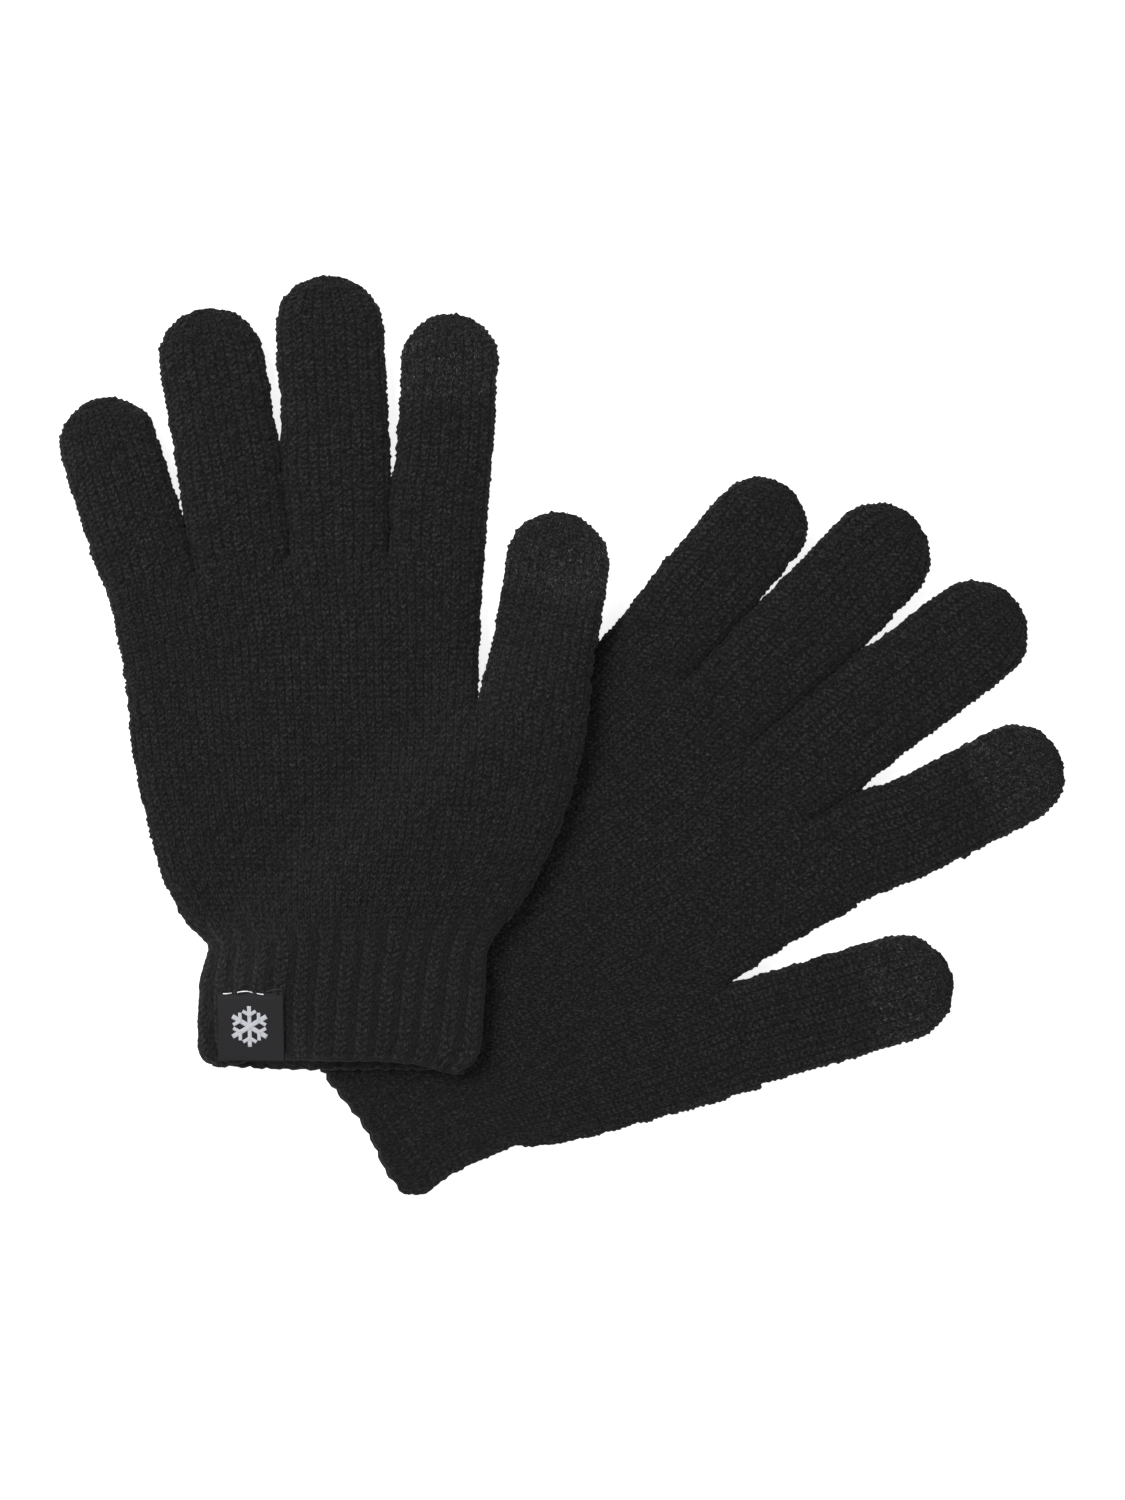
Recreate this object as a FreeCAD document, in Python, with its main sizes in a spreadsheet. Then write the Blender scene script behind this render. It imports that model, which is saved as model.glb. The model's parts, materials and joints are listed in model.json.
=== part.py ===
import FreeCAD, Part
import os
import Sketcher

# A pair of knitted touchscreen gloves laid flat: the right glove lies on the floor, palm up,
# and the left glove lies across it, back up. Each glove is drawn in its own frame, with its
# origin at the middle of the cuff's mouth, X towards the thumb and Y towards the fingers.
# The left glove is upright; the right one is turned and lies under it. Millimetres, degrees.

SIZES = {
    # the knitted tube, lying flat
    "wall": 2.0,
    "hollow": 4.4,
    "body_gap": 0.3,
    # cuff
    "mouth_width": 83.0,
    "edge_length": 3.0,
    "cuff_length": 36.0,
    "wrist_width": 84.0,
    "wrist_offset": 2.0,
    # hand: the widest points of its two sides, and the thumb's crotch
    "palm_side_x": 59.3,
    "palm_side_y": 85.0,
    "ball_side_x": 62.6,
    "ball_side_y": 67.0,
    "crotch_x": 40.4,
    "crotch_y": 107.0,
    # hand: the corner where the index finger's outer side starts
    "knuckle_x": 42.4,
    "knuckle_y": 149.8,
    # widths of the digits at their roots and at their tips
    "index_width": 28.5,
    "middle_width": 29.0,
    "ring_width": 28.5,
    "little_width": 27.2,
    "thumb_width": 32.6,
    "index_tip_width": 28.6,
    "middle_tip_width": 30.4,
    "ring_tip_width": 29.2,
    "little_tip_width": 27.2,
    "thumb_tip_width": 30.2,
    # how each glove's knit is drawn out as it lies, across the hand and along it
    "left_spread": 1.0,
    "right_spread": 0.96,
    "left_stretch": 1.0,
    "right_stretch": 1.035,
    # lengths of the digits as they lie
    "left_index_length": 71.8,
    "left_middle_length": 81.9,
    "left_ring_length": 76.1,
    "left_little_length": 57.9,
    "left_thumb_length": 61.1,
    "right_index_length": 75.5,
    "right_middle_length": 88.0,
    "right_ring_length": 83.0,
    "right_little_length": 63.5,
    "right_thumb_length": 64.0,
    # lean of the digits from the glove's length, towards the thumb
    "left_index_lean": 4.0,
    "left_middle_lean": -2.0,
    "left_ring_lean": -9.5,
    "left_little_lean": -18.0,
    "left_thumb_lean": 11.0,
    "right_index_lean": 8.5,
    "right_middle_lean": -2.2,
    "right_ring_lean": -10.5,
    "right_little_lean": -14.0,
    "right_thumb_lean": 17.5,
    # conductive tips of the index finger and the thumb
    "touch_length": 25.0,
    # how the right glove lies under the left one
    "right_turn": 55.0,
    "right_x": 0.6,
    "right_y": -6.4,
    # how the left glove climbs onto the right one
    "ledge_margin": 1.2,
    "ramp_length": 36.0,
    # sewn label on the left cuff
    "label_width": 20.0,
    "label_length": 20.4,
    "label_thickness": 0.6,
    "label_x": -26.6,
    "label_y": 12.0,
    "thread_length": 12.4,
    "thread_width": 0.8,
    "thread_thickness": 0.4,
    "thread_inset": 0.4,
    "thread_shift": -2.0,
    # the pair's place over the origin, worked out below from its outline
    "home_x": 0.0,
    "home_y": 0.0,
}

FINGERS = ("index", "middle", "ring", "little")
TOUCH_DIGITS = ("index", "thumb")
# how far a cutting shape runs past what it cuts, and how far a blank reaches past the pair
OVERRUN = 1.0
BLANK_SIZE = 400.0
BLANK_HEIGHT = 40.0

doc = FreeCAD.newDocument("touchscreen_gloves")
sheet = doc.addObject("Spreadsheet::Sheet", "Sizes")
for row, (alias, value) in enumerate(SIZES.items(), start=1):
    sheet.set(f"A{row}", alias)
    sheet.set(f"B{row}", str(value))
    sheet.setAlias(f"B{row}", alias)
doc.recompute()

THICKNESS = "(2 * Sizes.wall + Sizes.hollow)"


def value(expression):
    """The number an expression of the sheet's sizes gives now."""
    result = sheet.evalExpression(expression)
    return float(getattr(result, "Value", result))


def origin_plane(body, role):
    return [item for item in body.Origin.OriginFeatures if item.Role == role][0]


def tie(sketch, geometry, point, x, y):
    """Hold a point of a sketch at two expressions, measured from the sketch's origin."""
    for kind, expression in (("DistanceX", x), ("DistanceY", y)):
        number = value(expression)
        index = sketch.addConstraint(Sketcher.Constraint(kind, -1, 1, geometry, point, number))
        sketch.setExpression(f"Constraints[{index}]", expression)


def outline(body, name, corners, plane="XY_Plane"):
    """A closed sketch through corners. A corner is (x, y), or (x, y, x_on_arc, y_on_arc) where
    an arc through that middle point leads on to the next corner."""
    sketch = body.newObject("Sketcher::SketchObject", name)
    sketch.AttachmentSupport = [(origin_plane(body, plane), "")]
    sketch.MapMode = "FlatFace"
    spots = [FreeCAD.Vector(value(corner[0]), value(corner[1]), 0) for corner in corners]
    count = len(corners)
    for index, corner in enumerate(corners):
        start = spots[index]
        end = spots[(index + 1) % count]
        if len(corner) == 2:
            sketch.addGeometry(Part.LineSegment(start, end), False)
        else:
            middle = FreeCAD.Vector(value(corner[2]), value(corner[3]), 0)
            sketch.addGeometry(Part.Arc(start, middle, end), False)
    # an arc's first and last points swap where it runs clockwise
    ends = []
    for index in range(count):
        clockwise = sketch.Geometry[index].StartPoint.distanceToPoint(spots[index]) > 1e-6
        ends.append((2, 1) if clockwise else (1, 2))
    for index in range(count):
        following = (index + 1) % count
        sketch.addConstraint(Sketcher.Constraint("Coincident", index, ends[index][1],
                                                 following, ends[following][0]))
        tie(sketch, index, ends[index][0], corners[index][0], corners[index][1])
        if len(corners[index]) > 2:
            marker = sketch.addGeometry(Part.Point(FreeCAD.Vector(
                value(corners[index][2]), value(corners[index][3]), 0)), True)
            sketch.addConstraint(Sketcher.Constraint("PointOnObject", marker, 1, index))
            tie(sketch, marker, 1, corners[index][2], corners[index][3])
    return sketch


def prism(name, corners, place=None):
    """A tall blank with the given outline: a padded sketch in a body of its own."""
    body = doc.addObject("PartDesign::Body", name)
    sketch = outline(body, f"{name}_outline", corners)
    pad = body.newObject("PartDesign::Pad", f"{name}_pad")
    pad.Profile = sketch
    pad.SideType = "Symmetric"
    pad.Length = 2 * BLANK_HEIGHT
    body.Tip = pad
    if place:
        put(body, *place)
    return body


def put(item, x, y, turn):
    """Bind an object's place on the floor plan: its origin, and its turn about +Z."""
    item.setExpression("Placement.Base.x", x)
    item.setExpression("Placement.Base.y", y)
    item.Placement.Rotation = FreeCAD.Rotation(FreeCAD.Vector(0, 0, 1), 1)
    item.setExpression("Placement.Rotation.Angle", turn)


def boolean(kind, name, base, tool):
    result = doc.addObject(f"Part::{kind}", name)
    result.Base = base
    result.Tool = tool
    return result


# ---------------------------------------------------------------- the surfaces the gloves lie on

def glove_place(side, x="0", y="0", turn="0"):
    """Where a spot of a glove's own frame lies in the pair's frame."""
    if side == "left":
        return x, y, turn
    across = "cos(Sizes.right_turn)"
    along = "sin(Sizes.right_turn)"
    return (f"Sizes.right_x + ({x}) * {across} + ({y}) * {along}",
            f"Sizes.right_y - ({x}) * {along} + ({y}) * {across}",
            f"{turn} - Sizes.right_turn")


def under_ramp(name, level, place):
    """Everything below a surface that lies flat, climbs a ramp along its own X and is flat
    again from X = 0, where the edge that it climbs over runs along its Y."""
    body = doc.addObject("PartDesign::Body", name)
    rise = f"({THICKNESS} + Sizes.body_gap)"
    far = str(BLANK_SIZE)
    bottom = str(-BLANK_HEIGHT)
    profile = outline(body, f"{name}_profile", [
        (f"-{far}", bottom),
        (far, bottom),
        (far, f"{level} + {rise}"),
        ("0", f"{level} + {rise}"),
        ("-Sizes.ramp_length", level),
        (f"-{far}", level),
    ], plane="XZ_Plane")
    pad = body.newObject("PartDesign::Pad", f"{name}_pad")
    pad.Profile = profile
    pad.SideType = "Symmetric"
    pad.Length = 2 * BLANK_SIZE
    body.Tip = pad
    put(body, *place)
    return body


def knuckle_corners(side):
    """The hand's corners between the fingers, from the index finger's outer side on."""
    x = f"Sizes.{side}_spread * Sizes.knuckle_x"
    y = f"Sizes.{side}_stretch * Sizes.knuckle_y"
    corners = [(x, y)]
    for finger in FINGERS:
        width = f"Sizes.{side}_spread * Sizes.{finger}_width"
        lean = f"Sizes.{side}_{finger}_lean"
        x = f"{x} - {width} * cos({lean})"
        y = f"{y} + {width} * sin({lean})"
        corners.append((x, y))
    return corners


def draped_floor(name, level):
    """Below the left glove's lie: it climbs over the right glove's little-finger side and over
    the mouth of its cuff, and the lower of the two ramps counts. The side's ledge runs from the
    mouth's corner past the palm and the little finger's root, whichever stands out more."""
    corner_x = "Sizes.right_spread * Sizes.mouth_width / 2"
    root_x, root_y = knuckle_corners("right")[-1]
    palm = (f"(Sizes.right_spread * Sizes.palm_side_x - {corner_x})"
            " / (Sizes.right_stretch * Sizes.palm_side_y)")
    root = f"(-({root_x}) - {corner_x}) / ({root_y})"
    side = under_ramp(f"{name}_side", level, glove_place(
        "right", f"-({corner_x} + Sizes.ledge_margin)", "0",
        f"atan(max({palm}; {root})) / 1 deg"))
    mouth = under_ramp(f"{name}_mouth", level, glove_place("right", "0", "-Sizes.body_gap", "90"))
    return boolean("Common", name, side, mouth)


def flat_floor(name, level):
    box = doc.addObject("Part::Box", name)
    box.Length = 2 * BLANK_SIZE
    box.Width = 2 * BLANK_SIZE
    box.setExpression("Height", f"{level} + {BLANK_HEIGHT}")
    box.Placement.Base = FreeCAD.Vector(-BLANK_SIZE, -BLANK_SIZE, -BLANK_HEIGHT)
    return box


LEVELS = {
    "floor": "0",
    "lining": "Sizes.wall",
    "roof": "(Sizes.wall + Sizes.hollow)",
    "top": THICKNESS,
    "label_top": f"({THICKNESS} + Sizes.label_thickness)",
    "thread_top": f"({THICKNESS} + Sizes.label_thickness + Sizes.thread_thickness)",
}
floors = {}
for level in ("floor", "lining", "roof", "top"):
    floors["right", level] = flat_floor(f"right_{level}", LEVELS[level])
for level, height in LEVELS.items():
    floors["left", level] = draped_floor(f"left_{level}", height)


def layer(side, name, low, high):
    """The space between two of the surfaces a glove lies on."""
    return boolean("Cut", f"{side}_{name}_layer", floors[side, high], floors[side, low])


layers = {}
for side in ("right", "left"):
    layers[side, "fabric"] = layer(side, "fabric", "floor", "top")
    layers[side, "hollow"] = layer(side, "hollow", "lining", "roof")
layers["left", "label"] = layer("left", "label", "top", "label_top")
layers["left", "thread"] = layer("left", "thread", "label_top", "thread_top")

# ---------------------------------------------------------------- the knitted tubes


def shell(side, name, outer_corners, inner_corners, place):
    """A flattened tube of knit: its outline in the fabric's layer, less the hollow in it."""
    label = f"{side}_{name}"
    outer = prism(f"{label}_blank", outer_corners, place)
    inner = prism(f"{label}_core", inner_corners, place)
    full = boolean("Common", f"{label}_full", layers[side, "fabric"], outer)
    hollow = boolean("Common", f"{label}_hollow", layers[side, "hollow"], inner)
    piece = boolean("Cut", label, full, hollow)
    pieces.append(piece)
    return piece


def cuff_edge(side, inset, reach):
    """The overlocked edge round the cuff's mouth."""
    half = f"(Sizes.{side}_spread * Sizes.mouth_width / 2 - {inset})"
    return [
        (f"-{half}", f"-{reach}"),
        (half, f"-{reach}"),
        (half, f"Sizes.edge_length + {reach}"),
        (f"-{half}", f"Sizes.edge_length + {reach}"),
    ]


def cuff(side, inset, reach):
    """The ribbed cuff, from its edge to the wrist."""
    mouth = f"(Sizes.{side}_spread * Sizes.mouth_width / 2 - {inset})"
    wrist = f"(Sizes.{side}_spread * Sizes.wrist_width / 2 - {inset})"
    offset = f"Sizes.{side}_spread * Sizes.wrist_offset"
    return [
        (f"-{mouth}", f"Sizes.edge_length - {reach}"),
        (mouth, f"Sizes.edge_length - {reach}"),
        (f"{offset} + {wrist}", f"Sizes.cuff_length + {reach}"),
        (f"{offset} - {wrist}", f"Sizes.cuff_length + {reach}"),
    ]


def digit_root(side, digit):
    """The middle of a digit's root line, and the digit's lean."""
    lean = f"Sizes.{side}_{digit}_lean"
    half = f"Sizes.{side}_spread * Sizes.{digit}_width / 2"
    if digit == "thumb":
        x = f"Sizes.{side}_spread * Sizes.crotch_x + {half} * cos({lean})"
        y = f"Sizes.{side}_stretch * Sizes.crotch_y - {half} * sin({lean})"
        return x, y, lean
    x, y = knuckle_corners(side)[FINGERS.index(digit)]
    return f"{x} - {half} * cos({lean})", f"{y} + {half} * sin({lean})", lean


def hand(side, inset, reach):
    """The hand, from the wrist to the roots of the fingers and the thumb."""
    spread = f"Sizes.{side}_spread"
    stretch = f"Sizes.{side}_stretch"
    knuckles = knuckle_corners(side)
    wrist_y = f"Sizes.cuff_length - {reach}"
    middle = f"{spread} * Sizes.wrist_offset"
    half = f"{spread} * Sizes.wrist_width / 2"
    thumb_lean = f"Sizes.{side}_thumb_lean"
    thumb_width = f"{spread} * Sizes.thumb_width"
    crotch_x = f"{spread} * Sizes.crotch_x"
    crotch_y = f"{stretch} * Sizes.crotch_y"
    root_x = f"{crotch_x} + ({thumb_width} - {inset}) * cos({thumb_lean})"
    root_y = f"{crotch_y} - ({thumb_width} - {inset}) * sin({thumb_lean})"
    corners = [
        (f"{middle} + {half} - {inset}", wrist_y,
         f"{spread} * Sizes.ball_side_x - {inset}", f"{stretch} * Sizes.ball_side_y"),
        (root_x, root_y),
    ]
    if reach != "0":
        # the hollow runs on into the thumb, past a wall round its crotch
        corners += [
            (f"{root_x} + {reach} * sin({thumb_lean})", f"{root_y} + {reach} * cos({thumb_lean})"),
            (f"{crotch_x} + {inset} * cos({thumb_lean}) + {reach} * sin({thumb_lean})",
             f"{crotch_y} - {inset} * sin({thumb_lean}) + {reach} * cos({thumb_lean})"),
            (f"{crotch_x} + {inset}", f"{crotch_y} - {inset}"),
        ]
    corners.append((f"{crotch_x} - {inset}", f"{crotch_y} - {inset}"))
    corners.append((f"{knuckles[0][0]} - {inset}", f"{knuckles[0][1]} + {reach}"))
    for x, y in knuckles[1:-1]:
        corners.append((x, f"{y} + {reach}"))
    end_x, end_y = knuckles[-1]
    corners.append((f"{end_x} + {inset}", f"{end_y} + {reach}"))
    if reach != "0":
        corners.append((f"{end_x} + {inset}", f"{end_y} - {inset}"))
    # the little-finger side goes back to the wrist in one arc
    x, y = corners[-1]
    corners[-1] = (x, y, f"-{spread} * Sizes.palm_side_x + {inset}",
                   f"{stretch} * Sizes.palm_side_y")
    corners.append((f"{middle} - {half} + {inset}", wrist_y))
    return corners


def digit(side, name, low, high, inset, reach, rounded):
    """A stretch of a digit from low to high along it, ending in a round tip if rounded."""
    spread = f"Sizes.{side}_spread"
    root = f"({spread} * Sizes.{name}_width - Sizes.body_gap) / 2"
    tip = f"({spread} * Sizes.{name}_tip_width - Sizes.body_gap) / 2"
    length = f"Sizes.{side}_{name}_length"
    centre = f"({length} - {tip})"

    def half_at(y):
        return f"({root} + ({tip} - {root}) * ({y}) / {centre} - {inset})"

    start = f"{low} - {reach}"
    if not rounded:
        return [
            (f"-{half_at(low)}", start),
            (half_at(low), start),
            (half_at(high), f"{high} + {reach}"),
            (f"-{half_at(high)}", f"{high} + {reach}"),
        ]
    return [
        (f"-{half_at(low)}", start),
        (half_at(low), start),
        (f"{tip} - {inset}", centre, "0", f"{length} - {inset}"),
        (f"-({tip} - {inset})", centre),
    ]


pieces = []
for side in ("right", "left"):
    place = glove_place(side)
    for name, corners in (("cuff_edge", cuff_edge), ("cuff", cuff), ("hand", hand)):
        shell(side, name, corners(side, "0", "0"), corners(side, "Sizes.wall", str(OVERRUN)), place)
    for name in FINGERS + ("thumb",):
        x, y, lean = digit_root(side, name)
        place = glove_place(side, x, y, f"-({lean})")
        length = f"Sizes.{side}_{name}_length"
        root = "Sizes.body_gap"
        label = "thumb" if name == "thumb" else f"{name}_finger"
        if name not in TOUCH_DIGITS:
            shell(side, label, digit(side, name, root, length, "0", "0", True),
                  digit(side, name, root, length, "Sizes.wall", str(OVERRUN), True), place)
            continue
        seam = f"({length} - Sizes.touch_length)"
        shell(side, label, digit(side, name, root, seam, "0", "0", False),
              digit(side, name, root, seam, "Sizes.wall", str(OVERRUN), False), place)
        shell(side, f"{name}_touch_tip", digit(side, name, seam, length, "0", "0", True),
              digit(side, name, seam, length, "Sizes.wall", str(OVERRUN), True), place)

# ---------------------------------------------------------------- the label on the left cuff


def plate(name, half_width, half_length, place, layer_name):
    """A thin rectangle that follows the left cuff's top."""
    blank = prism(f"{name}_blank", [
        (f"-{half_width}", f"-{half_length}"),
        (half_width, f"-{half_length}"),
        (half_width, half_length),
        (f"-{half_width}", half_length),
    ], place)
    pieces.append(boolean("Common", name, layers["left", layer_name], blank))


plate("left_label", "Sizes.label_width / 2", "Sizes.label_length / 2",
      ("Sizes.label_x", "Sizes.label_y", "0"), "label")
thread_y = ("Sizes.label_y + Sizes.label_length / 2 - Sizes.thread_inset"
            " - Sizes.thread_width / 2")
plate("left_label_thread", "Sizes.thread_length / 2", "Sizes.thread_width / 2",
      ("Sizes.label_x + Sizes.thread_shift", thread_y, "0"), "thread")

# ---------------------------------------------------------------- place, check and write

for piece in pieces:
    piece.setExpression("Placement.Base.x", "Sizes.home_x")
    piece.setExpression("Placement.Base.y", "Sizes.home_y")
doc.recompute()
bounds = FreeCAD.BoundBox()
for piece in pieces:
    bounds.add(piece.Shape.optimalBoundingBox(False))
row_of = {alias: row for row, alias in enumerate(SIZES, start=1)}
sheet.set(f"B{row_of['home_x']}", str(-bounds.Center.x))
sheet.set(f"B{row_of['home_y']}", str(-bounds.Center.y))
doc.recompute()

for item in doc.Objects:
    if "Invalid" in item.State or "Error" in item.State:
        raise RuntimeError(f"{item.Label} did not compute")
os.makedirs("parts", exist_ok=True)
for piece in pieces:
    if piece.Shape.isNull() or not piece.Shape.isValid() or len(piece.Shape.Solids) < 1:
        raise RuntimeError(f"{piece.Label} is not a valid solid")
    piece.Shape.exportStep(f"parts/{piece.Label}.step")
    print(f"{piece.Label}: {piece.Shape.Volume:.0f} mm3, {len(piece.Shape.Solids)} solid(s)")

# The hinge line of each digit lies on the knit's top face, in the gap at the digit's root.
for side in ("right", "left"):
    for name in FINGERS + ("thumb",):
        x, y, turn = glove_place(side, *digit_root(side, name)[:2],
                                 f"-(Sizes.{side}_{name}_lean)")
        print(f"{side}_{name} hinge at ({value(x) - bounds.Center.x:.3f},"
              f" {value(y) - bounds.Center.y:.3f}), turned {value(turn):.3f}")
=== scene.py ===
import json
import math
import bmesh
import bpy
import numpy as np
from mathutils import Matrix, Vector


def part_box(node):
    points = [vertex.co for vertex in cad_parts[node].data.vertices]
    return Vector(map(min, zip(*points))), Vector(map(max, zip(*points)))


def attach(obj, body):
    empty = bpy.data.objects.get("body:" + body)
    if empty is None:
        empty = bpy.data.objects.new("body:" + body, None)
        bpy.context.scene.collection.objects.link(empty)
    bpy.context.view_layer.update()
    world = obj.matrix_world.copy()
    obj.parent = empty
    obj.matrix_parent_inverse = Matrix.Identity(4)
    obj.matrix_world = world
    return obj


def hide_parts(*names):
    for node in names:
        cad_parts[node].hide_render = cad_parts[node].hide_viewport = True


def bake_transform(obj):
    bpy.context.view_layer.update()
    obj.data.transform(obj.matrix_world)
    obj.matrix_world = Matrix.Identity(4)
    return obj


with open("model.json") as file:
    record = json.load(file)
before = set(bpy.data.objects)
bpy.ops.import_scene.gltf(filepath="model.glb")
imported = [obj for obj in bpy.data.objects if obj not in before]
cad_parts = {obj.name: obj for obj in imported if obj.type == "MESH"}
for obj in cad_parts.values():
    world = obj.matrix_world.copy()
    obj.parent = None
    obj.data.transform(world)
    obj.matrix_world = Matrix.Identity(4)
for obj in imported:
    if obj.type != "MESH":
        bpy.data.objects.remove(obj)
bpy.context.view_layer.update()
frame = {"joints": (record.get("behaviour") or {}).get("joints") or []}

# ------------------------------------------------------------------ floor, light and camera
# The pair lies on a white table that glows a little, in a bright white room with two soft boxes,
# and is looked at straight from above.

MM = 0.001
CAMERA_PLACE = (0.00015, -0.0041, 1.0527)
LENS = 85
SENSOR = 36
FLOOR_HALF = 12.0
TABLE_COLOR = (0.6, 0.6, 0.6)
TABLE_GLOW = 0.8
ROOM_LIGHT = 0.62
WHITE = (1, 1, 1, 1)

camera = bpy.data.objects.new("camera", bpy.data.cameras.new("camera"))
camera.data.lens = LENS
camera.data.sensor_width = SENSOR
camera.location = CAMERA_PLACE
bpy.context.scene.collection.objects.link(camera)
bpy.context.scene.camera = camera


def plain_material(name, color, roughness):
    material = bpy.data.materials.new(name)
    material.use_nodes = True
    shader = material.node_tree.nodes["Principled BSDF"]
    shader.inputs["Base Color"].default_value = (*color, 1)
    shader.inputs["Roughness"].default_value = roughness
    shader.inputs["Specular IOR Level"].default_value = 0.15
    return material


def add_floor():
    bm = bmesh.new()
    bmesh.ops.create_grid(bm, x_segments=1, y_segments=1, size=FLOOR_HALF)
    mesh = bpy.data.meshes.new("floor")
    bm.to_mesh(mesh)
    bm.free()
    floor = bpy.data.objects.new("floor", mesh)
    bpy.context.scene.collection.objects.link(floor)
    table = plain_material("white_table", TABLE_COLOR, 0.8)
    shader = table.node_tree.nodes["Principled BSDF"]
    shader.inputs["Emission Color"].default_value = WHITE
    shader.inputs["Emission Strength"].default_value = TABLE_GLOW
    mesh.materials.append(table)


def add_softbox(name, place, size, power):
    """A square soft box, turned to the middle of the table."""
    lamp = bpy.data.lights.new(name, "AREA")
    lamp.size = size
    lamp.energy = power
    item = bpy.data.objects.new(name, lamp)
    item.location = place
    x, y, z = place
    item.rotation_euler = (math.atan2(math.hypot(x, y), z), 0, math.atan2(-y, -x) - math.pi / 2)
    bpy.context.scene.collection.objects.link(item)


add_floor()
add_softbox("key_softbox", place=(-0.85, 0.5, 1.1), size=0.7, power=20)
add_softbox("fill_softbox", place=(0.9, -0.7, 1.2), size=1.0, power=6)
world = bpy.data.worlds.new("studio")
world.use_nodes = True
world.node_tree.nodes["Background"].inputs["Color"].default_value = WHITE
world.node_tree.nodes["Background"].inputs["Strength"].default_value = ROOM_LIGHT
bpy.context.scene.world = world
bpy.context.scene.view_settings.view_transform = "Standard"

# ------------------------------------------------------------------ how the two gloves lie
# The right glove lies flat, palm up. The left one lies across it, back up, and its knit climbs
# softly over the right glove's little-finger side and over the mouth of its cuff. Each glove is
# drawn in its own millimetres: X to the thumb, Y to the fingers, from the middle of the mouth.

SIDES = ("right", "left")
FINGERS = ("index", "middle", "ring", "little")
DIGITS = FINGERS + ("thumb",)
EDGE_LENGTH = 3.0
TURN = {"right": math.radians(-55), "left": 0.0}
# the right glove's fingers are a little narrower at their roots, and its courses longer
SPREAD = {"right": 0.96, "left": 1.0}
STRETCH = {"right": 1.035, "left": 1.0}
# the climb over the right glove: its height, how far before that glove's side it starts and how
# far past it ends, and the lean and place of the side
RISE = 8.6
RAMP = 24.0
RAMP_OVER = 3.0
LEDGE_LEAN = math.radians(11)
LEDGE_X = -41.0

joints = {joint["name"]: joint for joint in frame["joints"]}


def mouth_of(side):
    """The middle of a cuff's mouth, half an edge's length down from the middle of its edge."""
    low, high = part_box(f"{side}_cuff_edge")
    centre = (low + high) / 2 / MM
    half = EDGE_LENGTH / 2
    turn = TURN[side]
    return np.array([centre.x + half * math.sin(turn), centre.y - half * math.cos(turn)])


MOUTH = {side: mouth_of(side) for side in SIDES}


def to_pair(side, x, y):
    """From a glove's own X and Y to the pair's, in millimetres."""
    c, s = math.cos(TURN[side]), math.sin(TURN[side])
    return MOUTH[side][0] + c * x - s * y, MOUTH[side][1] + s * x + c * y


def to_glove(side, x, y):
    """From the pair's X and Y to a glove's own, in millimetres."""
    c, s = math.cos(TURN[side]), math.sin(TURN[side])
    dx, dy = x - MOUTH[side][0], y - MOUTH[side][1]
    return c * dx + s * dy, -s * dx + c * dy


def smooth(value, low=0.0, high=1.0):
    """From 0 at low to 1 at high, with soft ends."""
    t = np.clip((value - low) / (high - low), 0, 1)
    return t * t * (3 - 2 * t)


def lie(side, x, y):
    """Height of what a glove lies on, at points of its own frame."""
    if side == "right":
        return np.zeros_like(x)
    rx, ry = to_glove("right", *to_pair("left", x, y))
    inside = (rx - LEDGE_X) * math.cos(LEDGE_LEAN) + ry * math.sin(LEDGE_LEAN)
    return RISE * smooth(inside, -RAMP, RAMP_OVER) * smooth(ry, -RAMP, RAMP_OVER)


# ------------------------------------------------------------------ the knitted tubes
# All of a glove is one soft charcoal knit, in tubes that lie flattened: two layers that meet in
# rounded sides. Wales run up the hand and courses across it. Points across are evenly spaced
# over the rounded knit, and every tube starts on the points where the one below it ends.

# half a tube's thickness, the height of its middle, how far in its sides are rounded, and the
# lowest that any point lies
HALF = 3.55
MIDDLE = 4.2
ROUNDING = 8.0
TABLE = 0.03
# the gauge, and how many rows of points a course has and columns a wale
COURSE = 1.7
WALE_WIDTH = 2.35
ROWS = 4
COLUMNS = 5
WALES = {"palm": 44, "thumb": 12, "finger": 11}
PALM_COLUMNS = WALES["palm"] * COLUMNS
THUMB_COLUMNS = WALES["thumb"] * COLUMNS
FINGER_COLUMNS = WALES["finger"] * COLUMNS
HAND_WALES = WALES["palm"] + WALES["thumb"]
HAND_COLUMNS = HAND_WALES * COLUMNS
# points to a stretch of a row, when the way over the rounded knit is measured
DENSE = 40
# stitches: their depth, that of the plain knit beneath, how low the knit is in its grooves, the
# slant of a leg in courses, the smallest stitch, how much larger others are, and what mixes them
KNIT_DEPTH = 0.6
PLAIN_DEPTH = 0.3
GROOVE = 0.25
LEG_SLANT = 0.75
SMALL_STITCH = 0.75
STITCH_RANGE = 0.35
SCRAMBLE = (12.9898, 78.233, 43758.5)
# unevenness of the yarn: how often neighbours are evened out, and the height left
FUZZ = (1, 0.13)
LUMPS = (10, 0.17)
RNG = np.random.default_rng(7)
# slow waves of knit that was only laid down by hand: height, turns across and along, and start
WAVES = ((0.22, 0.085, 0.031, 0.6), (0.2, -0.071, 0.052, 2.1), (0.14, 0.16, 0.11, 0.0),
         (0.1, -0.13, 0.21, 1.0))

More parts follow.
